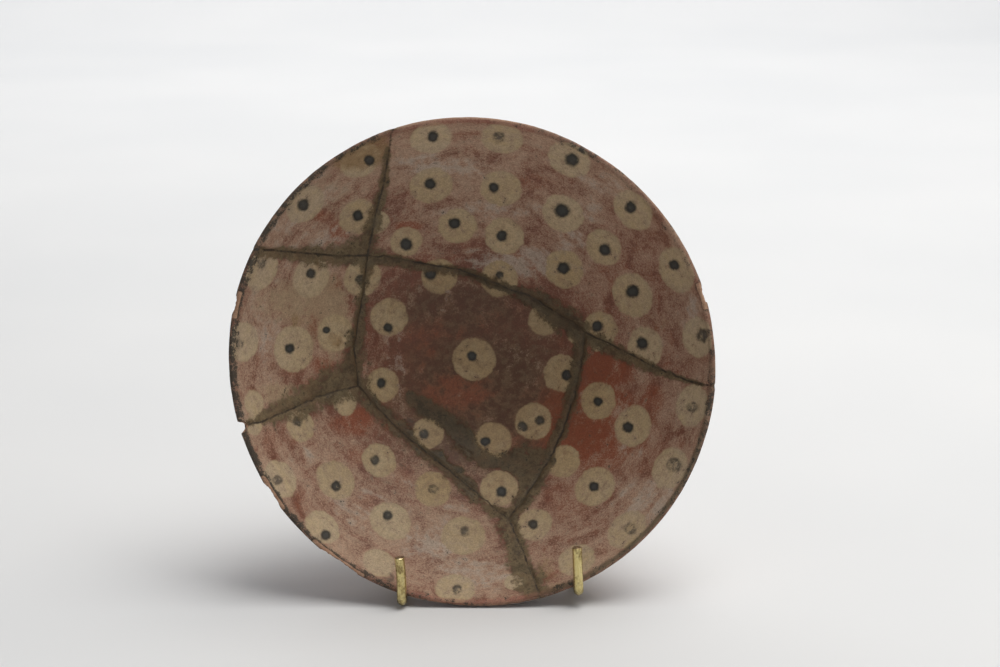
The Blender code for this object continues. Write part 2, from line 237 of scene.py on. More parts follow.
# Patches of the ground: centre, half sizes and strength
FRESH_RED = (
    (590, 425, 62, 50, 1.0), (604, 370, 34, 24, 0.9), (640, 455, 40, 30, 0.5),
    (568, 500, 34, 26, 0.5), (356, 420, 18, 15, 0.9), (310, 386, 9, 12, 0.7),
    (334, 284, 8, 12, 0.7), (338, 231, 13, 14, 0.8), (324, 216, 14, 8, 0.8),
    (408, 226, 15, 6, 0.8), (528, 182, 34, 10, 0.45), (452, 394, 44, 24, 0.70),
    (396, 426, 14, 8, 0.7), (470, 320, 60, 26, 0.3), (425, 200, 40, 8, 0.3),
    (650, 290, 80, 120, 0.42), (560, 200, 60, 60, 0.25), (610, 270, 14, 26, 0.4),
    (315, 318, 10, 26, 0.6), (321, 364, 14, 10, 0.7), (343, 424, 16, 14, 0.6),
    (354, 457, 10, 12, 0.6), (404, 479, 12, 16, 0.5), (365, 500, 16, 12, 0.5),
    (300, 500, 10, 16, 0.5), (270, 440, 10, 16, 0.4), (470, 505, 12, 16, 0.4),
    (266, 350, 14, 22, 0.4), (300, 370, 24, 8, 0.4), (325, 500, 14, 26, 0.4),
    (410, 556, 26, 10, 0.4), (515, 440, 24, 30, 0.4), (420, 350, 26, 30, 0.4),
    (650, 398, 15, 20, 0.7),
)
PALE_HAZE = (
    (520, 262, 60, 16, 0.9), (570, 238, 18, 16, 0.7), (500, 210, 70, 9, 0.6),
    (430, 285, 40, 10, 0.3), (395, 360, 10, 50, 0.5), (440, 545, 40, 22, 0.7),
    (360, 500, 60, 30, 0.5), (480, 570, 50, 20, 0.7), (300, 220, 60, 60, 0.6),
    (640, 500, 36, 26, 0.6), (590, 210, 12, 18, 0.6), (660, 330, 30, 30, 0.3),
    (265, 320, 30, 60, 0.5), (630, 445, 14, 22, 0.5), (450, 165, 60, 12, 0.7),
    (300, 455, 16, 12, 0.7), (600, 182, 26, 14, 0.6), (682, 312, 20, 26, 0.6),
    (450, 306, 28, 11, 0.3), (455, 503, 22, 12, 0.6),
)
WORN_PALE = (
    (304, 300, 46, 24, 0.75), (332, 318, 18, 44, 0.9), (280, 392, 26, 12, 0.7),
    (308, 332, 12, 26, 0.5), (330, 200, 34, 30, 0.4), (270, 300, 22, 22, 0.5),
)
# Brown film on the bowl's floor, darkened further as painted shade: centre, half sizes and
# strength
BROWN_FILM_AND_FLOOR_SHADE = (
    (480, 400, 100, 90, 0.85), (460, 310, 80, 34, 0.75), (525, 330, 40, 40, 0.6),
    (500, 455, 60, 30, 0.6),
)

# Spots that were wiped clean of filler
WIPED = (
    (498, 488.7, 18, 16, 2.0), (492, 441, 17, 15, 1.1), (430, 437, 13, 12, 1.0),
    (530, 414, 16, 8, 0.8), (530, 433, 15, 5, 0.8), (260, 285, 16, 10, 0.6),
    (311, 284, 18, 12, 0.6), (382.5, 390, 12, 14, 0.9), (568, 458, 12, 16, 0.8),
    (534, 524, 15, 15, 0.7), (362, 284, 12, 12, 0.5),
)
# Orange brown stains
STAINS = (
    (352, 156, 26, 15, 0.9), (376, 148, 16, 20, 0.8), (334, 340, 9, 9, 0.7), (296, 320, 8, 8, 0.6),
    (316, 262, 6, 8, 0.5), (560, 592, 26, 10, 0.55), (545, 570, 14, 18, 0.5),
    (664, 320, 20, 12, 0.3),
)
# Rim by angle in degrees: how black, how red and how olive it is
RIM_TINTS = (
    (0, 0.58, 0.2, 0.4), (14, 0.36, 0.3, 0.1), (30, 0.25, 0.2, 0.15), (58, 0.3, 0.1, 0.2),
    (62, 0.75, 0.0, 0.6), (68, 0.3, 0.3, 0.3), (78, 0.15, 0.9, 0.0), (100, 0.1, 0.8, 0.0),
    (112, 0.45, 0.3, 0.3), (118, 0.7, 0.2, 0.5), (140, 0.85, 0.1, 0.5), (165, 0.95, 0.3, 0.2),
    (186, 1.0, 0.0, 0.2), (205, 1.0, 0.1, 0.2), (222, 1.0, 0.3, 0.3), (245, 0.85, 0.3, 0.2),
    (262, 0.45, 0.8, 0.0), (282, 0.3, 0.8, 0.0), (292, 0.42, 0.3, 0.8), (318, 0.50, 0.1, 1.0),
    (338, 0.54, 0.1, 0.9), (350, 0.66, 0.1, 0.5), (360, 0.58, 0.2, 0.4),
)

# Edges of the skin's mesh: in cracks and chips, beside them, elsewhere inside, and outside
FINE, MIDDLE, COARSE, BACK = 0.00042, 0.00085, 0.0013, 0.0019
# How far the short ones reach: in pixels from a crack, and in metres from the lip and a chip
GROOVE_BAND, CRACK_BAND, LIP_BAND, CHIP_BAND = 4.5, 12.0, 0.005, 0.0022
# The first grid, and how often and from what excess its edges are halved
MESH_SPOKES, MESH_ROWS, MESH_PASSES, MESH_EXCESS = 180, 92, 4, 1.45

# Noises of the pottery: scale, detail, roughness and distortion
NOISES = {
    "broad": (42.0, 3.0), "cloud": (85.0, 6.0, 0.68, 0.6), "mid": (190.0, 4.0, 0.6),
    "mottle": (300.0, 6.0, 0.72), "small": (620.0, 3.0, 0.6), "grain": (1700.0, 3.0, 0.7),
}
TURNED_NOISE = (1.6, 4.0, 0.62, 0.3)

# Colours as linear red, green and blue, a pair where a noise runs from one to the other
SLIP = (0.205, 0.078, 0.046), (0.305, 0.118, 0.07)
SLIP_FRESH = (0.315, 0.086, 0.037)
SLIP_SPECK = (0.13, 0.052, 0.034)
SLIP_WORN = (0.435, 0.315, 0.19)
# Brown film on the floor, also painted shade
FILM_AND_SHADE = (0.09, 0.048, 0.024), (0.186, 0.118, 0.063)
BLOOM = (0.472, 0.318, 0.22)
SCUFF = (0.5, 0.42, 0.345)
STAIN = (0.3, 0.18, 0.075)
CREAM = (0.48, 0.345, 0.18), (0.54, 0.405, 0.235)
CREAM_DULL = (0.4, 0.285, 0.165)
CREAM_CLEAN = (0.56, 0.455, 0.3)
CREAM_EDGE = (0.4, 0.3, 0.165)
CREAM_CHALKY = (0.5, 0.405, 0.325)
# Cream under the brown film and painted shade on the floor
CREAM_BROWNED_AND_SHADED = (0.33, 0.205, 0.085)
INK = (0.018, 0.019, 0.017), (0.07, 0.074, 0.074)
DIRT = (0.072, 0.054, 0.026), (0.184, 0.135, 0.068)
# Filler under the brown film and painted shade on the floor
DIRT_DEEP_AND_SHADED = (0.066, 0.046, 0.021)
DIRT_BROWN = (0.16, 0.096, 0.046)
SCAB = (0.044, 0.036, 0.02)
CRACK = (0.04, 0.028, 0.018)
LIP_RED = (0.36, 0.125, 0.08)
LIP_OLIVE = (0.118, 0.09, 0.05)
SOOT = (0.04, 0.035, 0.026)
CLAY = (0.42, 0.225, 0.135), (0.5, 0.31, 0.2)
# Painted shade along the edges of the chips' bare faces
CLAY_EDGE_SHADE = (0.07, 0.048, 0.03)
OUTSIDE = (0.245, 0.118, 0.073), (0.35, 0.206, 0.132)
OUTSIDE_CLOUD = (0.12, 0.082, 0.06)
OUTSIDE_PALE = (0.42, 0.33, 0.25)
OUTSIDE_SOOT = (0.045, 0.04, 0.03)
OUTSIDE_CRACK = (0.035, 0.026, 0.018)
SPECK = (0.085, 0.058, 0.036)
BRASS = (0.66, 0.54, 0.23), (0.78, 0.67, 0.33)
TARNISH = (0.2, 0.115, 0.045)
# Painted shade low on the rod, near the floor
BRASS_LOW_SHADE = (0.13, 0.08, 0.04)
BRASS_CUT = (0.8, 0.72, 0.55), (0.35, 0.24, 0.13)
PAPER = (0.78, 0.785, 0.79), (0.82, 0.82, 0.82)


def eased(value):
    """Ease from 0 to 1 with level ends."""
    value = np.clip(value, 0.0, 1.0)
    return value * value * (3.0 - 2.0 * value)


def wall_tables():
    """Radius and height of the inside and of the outside, finely spaced."""
    share = np.linspace(0.0, 1.0, 601)
    steps, degrees = np.transpose(SLOPES)
    rise = np.tan(np.radians(np.interp(share, steps, degrees)))
    climb = np.concatenate([[0.0], np.cumsum((rise[1:] + rise[:-1]) / 2.0)])
    inner_rim = RIM_RADIUS - LIP
    radius = inner_rim * share
    height = FLOOR + DEPTH * climb / climb[-1]
    slope = np.arctan2(np.gradient(height), np.gradient(radius))
    thickness = LIP + (WALL - LIP) * eased((inner_rim - radius) / LIP_TAPER)
    outer_radius = radius + thickness * np.sin(slope)
    outer_height = height - thickness * np.cos(slope)
    outer_height = outer_height * eased((outer_radius - BASE_RADIUS) / HEEL)
    return radius, height, outer_radius, outer_height


INSIDE_R, INSIDE_H, OUTSIDE_R, OUTSIDE_H = wall_tables()


def section():
    """The bowl's section as one line: length along it, radius, height and tangent."""
    inner = np.array((INSIDE_R[-1], INSIDE_H[-1]))
    outer = np.array((OUTSIDE_R[-1], OUTSIDE_H[-1]))
    middle, arm = (inner + outer) / 2.0, (inner - outer) / 2.0
    turns = -np.linspace(0.0, math.pi, 25)[1:-1]
    lip_r = middle[0] + arm[0] * np.cos(turns) - arm[1] * np.sin(turns)
    lip_h = middle[1] + arm[0] * np.sin(turns) + arm[1] * np.cos(turns)
    beyond = OUTSIDE_R > BASE_RADIUS
    base_r = np.linspace(BASE_RADIUS, 0.0, 40)
    radius = np.concatenate([INSIDE_R, lip_r, OUTSIDE_R[beyond][::-1], base_r])
    height = np.concatenate([INSIDE_H, lip_h, OUTSIDE_H[beyond][::-1], base_r * 0.0])
    length = np.concatenate([[0.0], np.cumsum(np.hypot(np.diff(radius), np.diff(height)))])
    across, up = np.gradient(radius, length), np.gradient(height, length)
    size = np.hypot(across, up)
    crest = length[len(INSIDE_R) + 11]
    return length, radius, height, across / size, up / size, crest


LENGTH, RADIUS, HEIGHT, ACROSS, UP, CREST = section()


def out_of_round(angle):
    return 1.0 + OUT_OF_ROUND * np.cos(2.0 * (angle - LONG_WAY))


def skin(places):
    """Points of the skin in the bowl's own frame and their outward directions.

    A place is a length along the section and an angle round the bowl."""
    along, angle = places[:, 0], places[:, 1]
    radius, height = np.interp(along, LENGTH, RADIUS), np.interp(along, LENGTH, HEIGHT)
    across, up = np.interp(along, LENGTH, ACROSS), np.interp(along, LENGTH, UP)
    stretch = out_of_round(angle)
    lift = RIM_WARP * np.cos(2.0 * angle + WARP_TURN) * (radius / RIM_RADIUS) ** 2
    cosine, sine = np.cos(angle), np.sin(angle)
    points = np.stack([radius * cosine * stretch, radius * sine * stretch, height + lift], axis=1)
    normals = np.stack([-up * cosine, -up * sine, across], axis=1)
    return points, normals / np.linalg.norm(normals, axis=1, keepdims=True)


def in_picture(points):
    """Pixels over which points lie when the bowl is looked into."""
    angle = np.arctan2(points[:, 1], points[:, 0])
    radius = np.hypot(points[:, 0], points[:, 1])
    sunk = (INSIDE_H[-1] - np.interp(radius / out_of_round(angle), INSIDE_R, INSIDE_H)) / DEPTH
    size = PICTURE_RIM / RIM_RADIUS / (1.0 + PERSPECTIVE * sunk)
    return np.stack([
        PICTURE_CENTRE[0] + points[:, 0] * size,
        PICTURE_CENTRE[1] - points[:, 1] * size - PICTURE_RIM * FLOOR_SHIFT * sunk,
    ], axis=1)


def ripple(points, wavelength, seed, waves=14):
    """A smooth random field between about -1 and 1 over points of any dimension."""
    random = np.random.default_rng(seed)
    total = np.zeros(len(points))
    for _ in range(waves):
        direction = random.normal(size=points.shape[1])
        direction *= random.uniform(0.6, 1.5) / np.linalg.norm(direction)
        phase = random.uniform(0.0, 2.0 * math.pi)
        total += np.cos(points @ direction * (2.0 * math.pi / wavelength) + phase)
    return total / math.sqrt(waves)


def wandering(course, seed):
    """A course with close points that stray a little, as a real break does."""
    random = np.random.default_rng(seed)
    points = [np.array(course[0], float)]
    for start, end in zip(course, course[1:]):
        start, end = np.array(start, float), np.array(end, float)
        parts = max(1, int(round(np.linalg.norm(end - start) / CRACK_STEP)))
        side = np.array((-(end - start)[1], (end - start)[0])) / np.linalg.norm(end - start)
        for part in range(1, parts + 1):
            sway = 0.0 if part == parts else random.normal() * CRACK_SWAY
            points.append(start + (end - start) * part / parts + side * sway)
    return np.array(points)


CRACKS = {
    name: wandering(course, seed) for seed, (name, course) in enumerate(COURSES.items(), 1)
}


def stroke(pixels, points, widths):
    """How far into a stroke each pixel lies: 1 on its line, 0 at its edge."""
    best = np.full(len(pixels), -1e9)
    for start, end, first, last in zip(points, points[1:], widths, widths[1:]):
        line = end - start
        share = np.clip((pixels - start) @ line / (line @ line), 0.0, 1.0)
        gap = np.linalg.norm(pixels - start - share[:, None] * line, axis=1)
        best = np.maximum(best, 1.0 - gap / (first + (last - first) * share))
    return best


def crack_distance(pixels):
    """Pixels to the nearest crack."""
    strokes = [stroke(pixels, course, np.ones(len(course))) for course in CRACKS.values()]
    return 1.0 - np.max(strokes, axis=0)


def enclosed(pixels, outline):
    """Which pixels a closed outline holds."""
    held = np.zeros(len(pixels), bool)
    x, y = pixels[:, 0], pixels[:, 1]
    for (x0, y0), (x1, y1) in zip(outline, np.roll(outline, -1, axis=0)):
        if y0 == y1:
            continue
        crossing = (y0 > y) != (y1 > y)
        held ^= crossing & (x < (x1 - x0) * (y - y0) / (y1 - y0) + x0)
    return held


def sherds(pixels):
    """Each pixel's lift by the sherd that it is on."""
    lift = np.zeros(len(pixels))
    for height, *outline in SHERDS:
        parts = []
        for part in outline:
            if isinstance(part, tuple):
                parts.append(np.array([part], float))
            elif part.startswith("-"):
                parts.append(CRACKS[part[1:]][::-1])
            else:
                parts.append(CRACKS[part])
        lift[enclosed(pixels, np.concatenate(parts))] = height
    return lift


def chip_ellipsoid(size):
    """Centre, axes and half sizes of a rim chip's flake, and the way it cut in."""
    degrees, half_length, bite, half_height, through = size
    angle = math.radians(degrees)
    reach = (RIM_RADIUS + bite / 2.0) * out_of_round(angle)
    lift = RIM_WARP * math.cos(2.0 * angle + WARP_TURN)
    out = np.array((math.cos(angle), math.sin(angle), 0.0))
    centre = out * reach + np.array((0.0, 0.0, INSIDE_H[-1] + lift))
    axes = np.array((out, (-out[1], out[0], 0.0), (0.0, 0.0, 1.0)))
    steep = math.radians(SLOPES[-1][1])
    way = -out * math.cos(steep) - np.array((0.0, 0.0, math.sin(steep))) if through else -out
    return centre, axes, np.array((bite * 1.5, half_length, half_height)), way


def carve(points, size, roughness):
    """Push what a chip took away back to its face. Returns the points and how far each moved."""
    centre, axes, half, way = chip_ellipsoid(size)
    local = (points - centre) @ axes.T / (half * (1.0 + roughness[:, None]))
    ray = axes @ way / half
    inside = (local ** 2).sum(axis=1) < 1.0
    along = local @ ray
    square = ray @ ray
    root = np.sqrt(np.maximum(along ** 2 - square * ((local ** 2).sum(axis=1) - 1.0), 0.0))
    travel = np.where(inside, (root - along) / square, 0.0)
    return points + way * travel[:, None], travel


def flakes(angle, to_crest, points):
    """Cover of the bare faces that the chips left along the lip, 0 to 1 with soft ends."""
    cover = np.zeros(len(angle))
    ragged = 0.00035 * ripple(points, 0.008, 23)
    for degrees, half_length, _, _, through in CHIPS:
        if through:
            continue
        turned = np.mod(angle - math.radians(degrees) + math.pi, 2.0 * math.pi) - math.pi
        along = half_length + 0.001 - np.abs(turned) * RIM_RADIUS
        across = FLAKE_WIDTH + ragged - to_crest
        cover = np.maximum(cover, np.clip(np.minimum(along, across) / 0.0006 + 0.5, 0.0, 1.0))
    return cover


def wanted_length(points, along):
    """How long the skin's edges may be at points of it."""
    pixels = in_picture(points)
    inside = along < CREST
    gap = crack_distance(pixels)
    length = np.where(inside, COARSE, BACK)
    length = np.where(gap < CRACK_BAND, np.minimum(length, MIDDLE), length)
    length = np.where((gap < GROOVE_BAND) & inside, FINE, length)
    length = np.where(np.abs(along - CREST) < LIP_BAND, np.minimum(length, MIDDLE), length)
    for size in CHIPS:
        centre, axes, half, _ = chip_ellipsoid(size)
        local = (points - centre) @ axes.T / (half + CHIP_BAND)
        length = np.where((local ** 2).sum(axis=1) < 1.0, FINE, length)
    return length


def skin_mesh():
    """The skin's mesh while still flat, with close points where the surface is fine."""
    shape = bmesh.new()
    bmesh.ops.create_grid(shape, x_segments=MESH_ROWS, y_segments=MESH_SPOKES, size=1.0)
    for vertex in shape.verts:
        vertex.co = (
            (vertex.co.x + 1.0) / 2.0 * LENGTH[-1],
            (vertex.co.y + 1.0) * math.pi,
            0.0,
        )
    for _ in range(MESH_PASSES):
        shape.verts.index_update()
        places = np.array([vertex.co[:2] for vertex in shape.verts])
        points, _ = skin(places)
        edges = list(shape.edges)
        ends = np.array([(edge.verts[0].index, edge.verts[1].index) for edge in edges])
        length = np.linalg.norm(points[ends[:, 0]] - points[ends[:, 1]], axis=1)
        middle = (points[ends[:, 0]] + points[ends[:, 1]]) / 2.0
        along = (places[ends[:, 0], 0] + places[ends[:, 1], 0]) / 2.0
        long = np.flatnonzero(length > MESH_EXCESS * wanted_length(middle, along))
        if len(long) == 0:
            break
        chosen = [edges[index] for index in long]
        bmesh.ops.subdivide_edges(shape, edges=chosen, cuts=1, use_grid_fill=True)
    bmesh.ops.triangulate(shape, faces=shape.faces)
    return shape


def spot_fields(pixels):
    """Where pixels lie in the nearest spot and dot, for the material to draw them smoothly.

    Offsets are 1 long on the edge of a spot or dot. The distance to a spot's edge in pixels
    and the cover of a dot keep the places between two neighbours clear."""
    random = np.random.default_rng(31)
    count = len(pixels)
    spot, spot_size, tone = np.zeros((count, 3)), np.ones(count), np.zeros(count)
    nearest, spot_edge = np.full(count, 9.0), np.full(count, FAR_EDGE)
    for x, y, half_width, half_height in [spot[:4] for spot in SPOTS] + list(SCRAPS):
        offset = pixels - (x, y)
        aside = np.array((x, y)) - PICTURE_CENTRE
        turned = math.atan2(aside[1], aside[0])
        narrow = 1.0 - SPOT_NARROWS * min(1.0, np.hypot(*aside) / PICTURE_RIM) ** 2
        wide = math.sqrt((half_width ** 2 + half_height ** 2) / (1.0 + narrow ** 2))
        out = offset @ (math.cos(turned), math.sin(turned)) / (wide * narrow)
        around = offset @ (-math.sin(turned), math.cos(turned)) / wide
        away = np.hypot(out, around)
        closer = away < nearest
        nearest = np.minimum(nearest, away)
        spot[closer] = np.stack([out, around, 0.0 * out], axis=1)[closer]
        size = (half_width + half_height) / 2.0
        spot_size[closer] = size
        spot_edge = np.minimum(spot_edge, (away - 1.0) * size)
        tone[closer] = random.uniform(-1.0, 1.0)
    dot, dot_cover = np.zeros((count, 3)), np.zeros(count)
    nearest = np.full(count, 99.0)
    for x, y, radius, strength in [spot[4:] for spot in SPOTS] + list(STRAY_DOTS):
        offset = (pixels - (x, y)) / (radius + 0.3)
        away = np.linalg.norm(offset, axis=1)
        closer = away < nearest
        nearest = np.minimum(nearest, away)
        dot[closer, :2] = offset[closer]
        dot_cover[closer] = strength
    dot_cover *= np.clip((1.62 - nearest) / 0.3, 0.0, 1.0)
    return spot, spot_edge, spot_size, tone, dot, dot_cover


def patches(pixels, places):
    """Soft cover of a set of patches."""
    cover = np.zeros(len(pixels))
    for x, y, half_width, half_height, strength in places:
        reach = np.hypot((pixels[:, 0] - x) / half_width, (pixels[:, 1] - y) / half_height)
        cover = np.maximum(cover, strength * eased(1.35 - 0.85 * reach))
    return cover


def relief(places, points, pixels, gap):
    """How far the skin's points stand out of the turned shape."""
    inside = places[:, 0] < CREST
    from_axis = np.hypot(points[:, 0], points[:, 1])
    on_base = ~inside & (from_axis < BASE_RADIUS + 0.002)
    filled = np.clip(0.62 + 0.38 * ripple(points, 0.014, 15), 0.3, 1.0)
    hollow = CRACK_DEPTH * eased(1.0 - gap / CRACK_WIDTH) * filled
    lift = sherds(pixels) * np.where(inside, 1.0, -0.8) - hollow * np.where(inside, 1.0, 0.45)
    for height, wavelength, seed in SWELLS:
        lift += height * ripple(points, wavelength, seed)
    rings = from_axis + RIDGE_STRAY * ripple(points, 0.05, 14)
    lift += RIDGE * np.cos(rings * 2.0 * math.pi / RIDGE_PITCH)
    to_crest = np.abs(places[:, 0] - CREST)
    return lift * np.where(on_base, 0.25, 1.0) * eased(to_crest / 0.004 + 0.35)


def chipped(places, points, normals):
    """The skin with what its chips took away, and how bare of slip each point is."""
    to_crest = np.abs(places[:, 0] - CREST)
    clay = flakes(places[:, 1], np.where(places[:, 0] < CREST, to_crest, to_crest * 2.2), points)
    points = points - normals * (FLAKE_DEPTH * eased(clay * 1.6 - 0.4))[:, None]
    jag = 0.10 * ripple(points, 0.0022, 21) + 0.08 * ripple(points, 0.006, 22)
    for size in CHIPS:
        points, travel = carve(points, size, jag)
        clay = np.maximum(clay, eased(travel / FLAKE_DEPTH))
    return points, clay


def paint(places, points, pixels, gap, clay):
    """The fields and offsets that the bowl's material turns into colour."""
    along, around = places[:, 0], places[:, 1]
    inside = along < CREST
    spot, spot_edge, spot_size, tone, dot, dot_cover = spot_fields(pixels)
    smear = np.full(len(pixels), NO_SMEAR)
    for line in SMEARS:
        line = np.array(line, float)
        smear = np.maximum(smear, stroke(pixels, line[:, :2], line[:, 2] * SMEAR_WIDTH))
    smear = smear - patches(pixels, WIPED)
    degrees, *tints = np.transpose(RIM_TINTS)
    turn = np.degrees(np.mod(around, 2.0 * math.pi))
    black, red, olive = (np.interp(turn, degrees, tint) for tint in tints)
    reach = np.hypot(points[:, 0], points[:, 1]) / RIM_RADIUS
    turned = (TURNED_RUN * np.cos(around), TURNED_RUN * np.sin(around), TURNED_LINES * reach)
    return dict(
        spot_edge=np.where(inside, spot_edge, FAR_EDGE),
        spot_size=spot_size,
        dot_cover=np.where(inside, dot_cover, 0.0),
        tone=tone,
        crack=gap,
        smear=np.where(inside, smear, NO_SMEAR),
        rim=np.abs(along - CREST) * 1000.0,
        rim_black=black,
        rim_red=red,
        rim_olive=olive,
        clay=clay,
        fresh=patches(pixels, FRESH_RED),
        haze=patches(pixels, PALE_HAZE),
        worn=patches(pixels, WORN_PALE),
        brown=patches(pixels, BROWN_FILM_AND_FLOOR_SHADE),
        stain=np.where(inside, patches(pixels, STAINS), 0.0),
        inside=inside.astype(float),
        reach=reach,
        spot=spot,
        dot=dot,
        turned=np.stack(turned, axis=1),
    )


def into_scene(shape, name):
    """A finished shape as a smooth object of the scene."""
    bmesh.ops.recalc_face_normals(shape, faces=shape.faces)
    mesh = bpy.data.meshes.new(name)
    shape.to_mesh(mesh)
    shape.free()
    mesh.shade_smooth()
    made = bpy.data.objects.new(name, mesh)
    bpy.context.scene.collection.objects.link(made)
    return made


def build_bowl():
    """The bowl's skin with its relief, and the fields that its material reads."""
    shape = skin_mesh()
    places = np.array([vertex.co[:2] for vertex in shape.verts])
    points, normals = skin(places)
    pixels = in_picture(points)
    gap = crack_distance(pixels)
    points = points + normals * relief(places, points, pixels, gap)[:, None]
    points, clay = chipped(places, points, normals)
    fields = paint(places, points, pixels, gap, clay)
    kinds = shape.verts.layers
    layers = []
    for name, values in fields.items():
        kind = kinds.float if values.ndim == 1 else kinds.float_vector
        layers.append((kind.new(name), values))
    for layer, values in layers:
        for vertex, value in zip(shape.verts, values.tolist()):
            vertex[layer] = value
    turn = np.array(Euler((math.pi / 2.0 - LEAN, 0.0, 0.0)).to_matrix())
    for vertex, place in zip(shape.verts, (points @ turn.T + BOWL_SEAT).tolist()):
        vertex.co = place
    bmesh.ops.remove_doubles(shape, verts=shape.verts, dist=2e-6)
    bmesh.ops.dissolve_degenerate(shape, dist=1e-7, edges=shape.edges)
    bmesh.ops.triangulate(shape, faces=[face for face in shape.faces if len(face.verts) > 3])
    return into_scene(shape, "pottery_bowl")


class Recipe:
    """A material that is put together from nodes."""

    def __init__(self, name):
        self.material = bpy.data.materials.new(name)
        self.material.use_nodes = True
        self.tree = self.material.node_tree
        self.noises = {}

    def feed(self, socket, value):
        """Set a socket, or link it to another socket or to a noise or field by its name."""
        if isinstance(value, str):
            value = self.noises[value] if value in self.noises else self.field(value)
        if isinstance(value, bpy.types.NodeSocket):
            self.tree.links.new(value, socket)
        elif isinstance(value, tuple) and len(value) == 3 and socket.type == "RGBA":
            socket.default_value = (*value, 1.0)
        else:
            socket.default_value = value

    def node(self, kind, output, sockets=None, **settings):
        """One output of a new node, whose sockets are fed by name or number."""
        made = self.tree.nodes.new(kind)
        for key, value in settings.items():
            setattr(made, key, value)
        for key, value in (sockets or {}).items():
            self.feed(made.inputs[key], value)
        return made.outputs[output]

    def place(self):
        return self.node("ShaderNodeTexCoord", "Object")

    def height(self):
        return self.node("ShaderNodeSeparateXYZ", "Z", {0: self.place()})

    def field(self, name):
        return self.node("ShaderNodeAttribute", "Fac", attribute_name=name)

    def vector(self, name):
        return self.node("ShaderNodeAttribute", "Vector", attribute_name=name)

    def length(self, name):
        sockets = {0: self.vector(name)}
        return self.node("ShaderNodeVectorMath", "Value", sockets, operation="LENGTH")

    def scaled(self, vector, factors):
        sockets = {"Vector": vector, "Scale": Vector(factors)}
        return self.node("ShaderNodeMapping", "Vector", sockets)

    def scaled_colour(self, colour, factor):
        sockets = {0: colour, "Scale": factor}
        return self.node("ShaderNodeVectorMath", "Vector", sockets, operation="SCALE")

    def noise(self, vector, scale, detail=3.0, roughness=0.55, distortion=0.0):
        return self.node("ShaderNodeTexNoise", "Fac", {
            "Vector": vector, "Scale": scale, "Detail": detail, "Roughness": roughness,
            "Distortion": distortion,
        })

    def cells(self, vector, scale):
        return self.node("ShaderNodeTexVoronoi", "Distance", {"Vector": vector, "Scale": scale})

    def math(self, operation, first, second=0.0, third=0.0):
        sockets = {0: first, 1: second, 2: third}
        return self.node("ShaderNodeMath", 0, sockets, operation=operation)

    def times(self, first, second):
        return self.math("MULTIPLY", first, second)

    def ease(self, value, low, high, out_low=0.0, out_high=1.0):
        return self.node("ShaderNodeMapRange", "Result", {
            "Value": value, "From Min": low, "From Max": high,
            "To Min": out_low, "To Max": out_high,
        }, interpolation_type="SMOOTHSTEP")

    def stirred(self, value, **strengths):
        """A value with the named noises added about its middle."""
        for name, strength in strengths.items():
            value = self.math("SUBTRACT", value, strength / 2.0)
            value = self.math("MULTIPLY_ADD", name, strength, value)
        return value

    def blend(self, share, first, second):
        return self.node("ShaderNodeMix", 2, {0: share, 6: first, 7: second}, data_type="RGBA")

    def coat(self, under, over, share, amount):
        """One colour laid over another, by a share of an amount."""
        return self.blend(self.times(share, amount), under, over)

    def bump(self, height, strength, distance):
        sockets = {"Height": height, "Strength": strength, "Distance": distance}
        return self.node("ShaderNodeBump", "Normal", sockets)

    def surface(self, **sockets):
        """The material, with the shader's own sockets fed by their names."""
        shader = self.tree.nodes["Principled BSDF"]
        for name, value in sockets.items():
            self.feed(shader.inputs[name.replace("_", " ")], value)
        return self.material


def slip_ground(r):
    """Slip from brown to clean red under the bloom. Also the shares of bloom and of brown film and
    painted shade.
    """
    fresh = r.ease(r.stirred("fresh", mottle=2.0, turned=1.4), 0.14, 0.86)
    slip = r.blend(r.ease("cloud", 0.38, 0.62), *SLIP)
    slip = r.coat(slip, SLIP_FRESH, fresh, 0.85)
    slip = r.coat(slip, SLIP_SPECK, r.ease("small", 0.45, 0.75), 0.4)
    # The brown film, also painted shade over the floor
    brown = r.ease(r.stirred("brown", mottle=0.9, cloud=0.6), 0.05, 0.95)
    brown = r.times(brown, r.math("MULTIPLY_ADD", fresh, -0.62, 1.0))
    slip = r.coat(slip, r.blend(r.ease("mottle", 0.40, 0.60), *FILM_AND_SHADE), brown, 0.86)
    bloom = r.ease("reach", 0.22, 0.72, 0.10, 0.66)
    for share, strength in (("haze", 0.34), (fresh, -0.34), (brown, -0.16)):
        bloom = r.math("MULTIPLY_ADD", share, strength, bloom)
    bloom = r.stirred(bloom, cloud=2.0, turned=1.5, mottle=1.9, grain=1.3)
    bloom = r.ease(bloom, 0.08, 1.10)
    ground = r.blend(bloom, slip, BLOOM)
    scuff = r.ease(r.stirred("haze", mottle=2.0, turned=2.0, cloud=1.0), 0.44, 1.04)
    ground = r.coat(ground, SCUFF, scuff, 0.60)
    worn = r.ease(r.stirred("worn", mottle=1.6), 0.25, 0.85)
    return r.coat(ground, SLIP_WORN, worn, 0.8), bloom, brown


